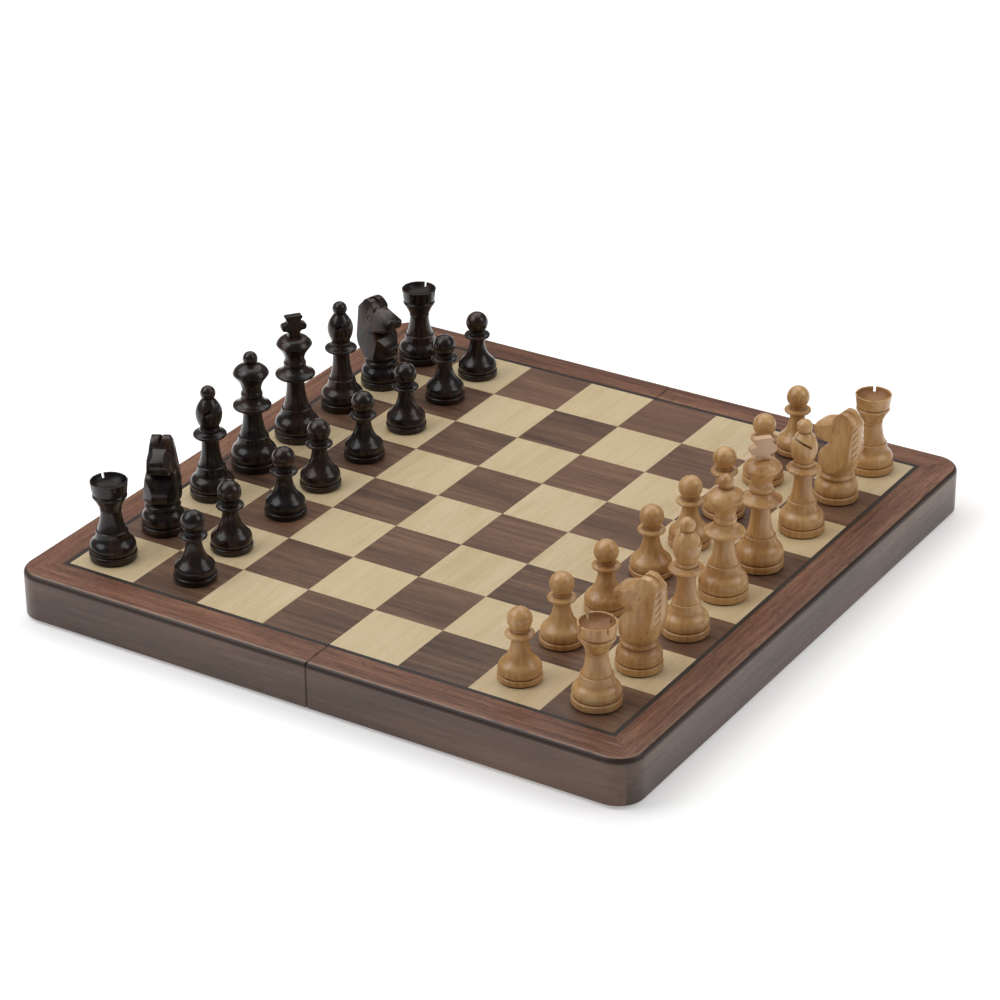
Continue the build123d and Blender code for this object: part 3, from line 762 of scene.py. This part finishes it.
def makeRook():
    body = turnedPiece("rookModel", rook["outline"])
    half, top = rook["slotWidth"] / 2, rook["top"]
    saws = []
    for quarter in range(4):
        saw = boxBetween("slot", (6.2, -half, top - rook["slotDepth"]), (12, half, top + 1))
        saws.append(turnPiece(saw, 90 * quarter, "Z"))
    combine(body, joined(saws), "DIFFERENCE")
    easeEdges(body, 0.12, 50, 1)
    # the lacquer stays dull inside the bowl, and the bowl's colour gets painted shade
    for vertex, value in zip(body.data.vertices, body.data.attributes["hollow"].data):
        radius = math.hypot(vertex.co.x, vertex.co.y)
        if vertex.co.z > rook["bowlAbove"] * mm and radius < rook["bowlRadius"] * mm:
            value.value = rook["bowlDullAndShade"]
    return smooth(body)


def makeKing():
    body = turnedPiece("kingModel", king["outline"])
    half = king["crossThickness"] / 2
    right = [(x * mm, -half * mm, z * mm) for x, z in curvePoints(king["cross"], 0.45)]
    left = [(-x, y, z) for x, y, z in reversed(right)]
    cross = drawRun("cross", right + left, closed=True)
    bpy.ops.mesh.select_all(action="SELECT")
    bpy.ops.mesh.extrude_region_move(TRANSFORM_OT_translate={"value": (0, 2 * half * mm, 0)})
    bpy.ops.mesh.select_all(action="SELECT")
    bpy.ops.mesh.normals_make_consistent(inside=False)
    bpy.ops.object.mode_set(mode="OBJECT")
    easeEdges(cross, 0.6, 50, 3)
    combine(body, cross, "UNION")
    raw = body.data.attributes.new("raw", "FLOAT", "POINT")
    for vertex, value in zip(body.data.vertices, raw.data):
        value.value = 1.0 if vertex.co.z > king["rawAbove"] * mm else 0.0
    return smooth(body)


def makeKnight():
    base = turnedPiece("knightModel", knight["outline"])
    run = outlinePoints(knight["head"], soft=0.3, gap=1.6)
    head = drawRun("head", [(x * mm, -0.012, z * mm) for x, z in run], closed=True)
    bpy.ops.mesh.select_all(action="SELECT")
    bpy.ops.mesh.extrude_region_move(TRANSFORM_OT_translate={"value": (0, 0.024, 0)})
    bpy.ops.mesh.select_all(action="SELECT")
    bpy.ops.mesh.normals_make_consistent(inside=False)
    bpy.ops.object.mode_set(mode="OBJECT")
    # the foot of the neck was turned round before it was carved
    envelope = turnedPiece("envelope", knight["envelope"])
    combine(head, envelope, "INTERSECT")
    # the head starts without painted shade; each cutter below paints shade into its cut
    withCutShade(head, 0.0)
    for point, normal, forward, length, width, depth in knight["flats"]:
        for way in (1, -1):
            tool = slab((point[0], way * point[1], point[2]), (normal[0], way * normal[1], normal[2]),
                        forward, length, width, depth)
            combine(head, tool, "DIFFERENCE")
    easeEdges(head, 0.35, 24, 2)
    # the parting between the ears: a block pinched to a wedge
    parting = boxBetween("parting", (-16, -1.9, 50.6), (6, 1.9, 55.9))
    openEdit(parting)
    mesh = bmesh.from_edit_mesh(parting.data)
    for vertex in mesh.verts:
        vertex.select = vertex.co.z < 0.052
    mesh.select_flush_mode()
    bmesh.update_edit_mesh(parting.data)
    bpy.ops.transform.resize(value=(1, 0.02, 1), center_override=(0, 0, 0.0506))
    bpy.ops.object.mode_set(mode="OBJECT")
    combine(head, parting, "DIFFERENCE")
    for way in (1, -1):
        clearPick()
        x, y, z = knight["eye"]
        lean = math.radians(90 + way * knight["faceLean"])
        bpy.ops.mesh.primitive_torus_add(
            major_radius=knight["eyeRing"] * mm, minor_radius=knight["eyeCut"] * mm, major_segments=40,
            minor_segments=10, location=(x * mm, way * y * mm, z * mm), rotation=(lean, 0, 0))
        ring = bpy.context.object
        bpy.ops.object.transform_apply(location=True, rotation=True, scale=True)
        combine(head, withCutShade(ring), "DIFFERENCE")
        # saw cuts across the mane, each rising towards the back
        for k in range(knight["maneCuts"]):
            saw = boxBetween("maneCut", (-2.4, -0.75, -0.24), (2.4, 0.75, 0.24))
            turnPiece(saw, 38, "Y")
            turnPiece(saw, way * knight["maneAngle"], "Z")
            x, y, z = knight["maneAt"]
            saw.data.transform(Matrix.Translation(Vector((x, way * y, z + knight["maneGap"] * k)) * mm))
            combine(head, withCutShade(saw), "DIFFERENCE")
        # a nostril drilled beside the nose
        clearPick()
        bpy.ops.mesh.primitive_uv_sphere_add(segments=20, ring_count=12, radius=0.55 * mm,
                                             location=(11.7 * mm, way * 2.3 * mm, 43.6 * mm))
        combine(head, withCutShade(bpy.context.object), "DIFFERENCE")
    mouth = slab((9.3, 0, 39.6), (0.1, 0, 1), (1, 0, 0), 8, 20, 0.4)
    combine(head, withCutShade(mouth), "DIFFERENCE")
    smooth(head, 28)
    smooth(base)
    return joined([base, head])


def makePad(radius):
    rim = radius - 0.6
    outline = [[(rim - 0.15, 0.0), (rim, 0.15)], [(rim, 0.15), (rim, 0.5)], [(rim, 0.5), (rim - 0.1, 0.6)]]
    pad = turnedPiece("padModel", outline, steps=56, soft=0.05)
    return smooth(pad, 50)


kinds = {"pawn": pawn, "rook": rook, "knight": knight, "bishop": bishop, "queen": queen, "king": king}
makers = {"pawn": makePawn, "rook": makeRook, "knight": makeKnight, "bishop": makeBishop, "queen": makeQueen,
          "king": makeKing}
models = {}
for kind, maker in makers.items():
    models[kind] = maker()
    models[kind + "Pad"] = makePad(kinds[kind]["foot"])
    print("modelled", kind, len(models[kind].data.polygons), "faces")

# how far each man of the back rows is turned about its own axis, in degrees
turns = {
    "black_rook_a": 58, "black_rook_h": 8, "white_rook_a": 62, "white_rook_h": 23,
    "black_knight_b": -62, "black_knight_g": -12, "white_knight_b": 180, "white_knight_g": 176,
    "black_bishop_c": 32, "black_bishop_f": 30, "white_bishop_c": 100, "white_bishop_f": 228,
    "black_king": 52, "white_king": 46,
}


def footOf(node):
    # the middle of the man's foot, read from the lowest ring of its CAD node
    points = [v.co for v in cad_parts[node].data.vertices]
    floor = min(p.z for p in points)
    ring = [p for p in points if p.z < floor + 0.0002]
    low = [min(p[k] for p in ring) for k in (0, 1)]
    high = [max(p[k] for p in ring) for k in (0, 1)]
    return Vector(((low[0] + high[0]) / 2, (low[1] + high[1]) / 2, floor))


def copyTo(model, name, matrix, body, finish):
    piece = model.copy()
    piece.data = model.data.copy()
    piece.name = name
    piece.data.name = name
    bpy.context.scene.collection.objects.link(piece)
    piece.data.transform(matrix)
    piece.data.materials.clear()
    piece.data.materials.append(finish)
    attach(piece, body)
    return piece


men = [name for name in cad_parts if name.split("_")[1] in kinds]
for man in sorted(men):
    colour, kind = man.split("_")[:2]
    matrix = Matrix.Translation(footOf(man)) @ Matrix.Rotation(math.radians(turns.get(man, 0)), 4, "Z")
    figure = copyTo(models[kind], man + "_figure", matrix, man, finishes[colour])
    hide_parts(man)
    copyTo(models[kind + "Pad"], man + "_pad", matrix, man, finishes["felt"])
for model in models.values():
    bpy.data.objects.remove(model)
print("men set up:", len(men))


# ---- floor, light and camera ----

studio = {
    "floor": (0.9, 0.9, 0.9), "floorGlow": 0.34, "floorSize": 8.0,
    "sky": (0.96, 0.97, 1.0), "skyStrength": 0.16,
    # name: azimuth, elevation, distance, width, height, watts, colour
    "lamps": {
        "overhead": (-130, 66, 1.5, 2.2, 1.5, 16.5, (1.0, 0.99, 0.97)),
        "leftBox": (-48, 46, 1.6, 0.9, 1.1, 8.5, (0.99, 0.99, 1.0)),
        "rightBox": (112, 40, 1.6, 0.8, 0.9, 5.5, (1.0, 0.98, 0.95)),
    },
}

clearPick()
bpy.ops.mesh.primitive_plane_add(size=studio["floorSize"], location=(0, 0, 0))
floor = bpy.context.object
floor.name = "floor"
paint = Finish("paleFloor")
speck = paint.noise(paint.stretched(paint.place(), (30, 30, 30)), 3.0)
shade = tuple(c * 0.99 for c in studio["floor"])
floor.data.materials.append(paint.surface({
    "Base Color": paint.mix(speck, studio["floor"], shade), "Roughness": 0.9,
    "Emission Color": (1, 1, 1, 1), "Emission Strength": studio["floorGlow"]}))

world = bpy.data.worlds.new("studioAir")
bpy.context.scene.world = world
world.use_nodes = True
world.node_tree.nodes["Background"].inputs[0].default_value = (*studio["sky"], 1)
world.node_tree.nodes["Background"].inputs[1].default_value = studio["skyStrength"]


def wayTo(azimuth, elevation):
    a, e = math.radians(azimuth), math.radians(elevation)
    return Vector((math.sin(a) * math.cos(e), -math.cos(a) * math.cos(e), math.sin(e)))


for name, (azimuth, elevation, distance, width, height, watts, colour) in studio["lamps"].items():
    lamp = bpy.data.lights.new(name, "AREA")
    lamp.shape, lamp.size, lamp.size_y, lamp.energy, lamp.color = "RECTANGLE", width, height, watts, colour
    holder = bpy.data.objects.new(name, lamp)
    bpy.context.scene.collection.objects.link(holder)
    way = wayTo(azimuth, elevation)
    holder.location = way * distance
    holder.rotation_mode = "QUATERNION"
    holder.rotation_quaternion = (-way).to_track_quat("-Z", "Y")

cameraLook = {"azimuth": 32.059, "elevation": 27.471, "roll": 0.424, "distance": 1.8921,
              "target": (-0.00970, 0.01306, 0.02865), "lens": 123.2}
camera = bpy.data.cameras.new("camera")
camera.lens, camera.sensor_width = cameraLook["lens"], 36
camera.clip_start, camera.clip_end = 0.05, 30
eye = bpy.data.objects.new("camera", camera)
bpy.context.scene.collection.objects.link(eye)
back = wayTo(cameraLook["azimuth"], cameraLook["elevation"])
right = (-back).cross(Vector((0, 0, 1))).normalized()
down = (-back).cross(right)
c, s = math.cos(math.radians(cameraLook["roll"])), math.sin(math.radians(cameraLook["roll"]))
turnedRight, turnedDown = right * c + down * s, down * c - right * s
eye.matrix_world = Matrix.Translation(Vector(cameraLook["target"]) + back * cameraLook["distance"]) @ Matrix(
    (turnedRight, -turnedDown, back)).transposed().to_4x4()
bpy.context.scene.camera = eye
bpy.context.scene.view_settings.view_transform = "Standard"
print("stage set")
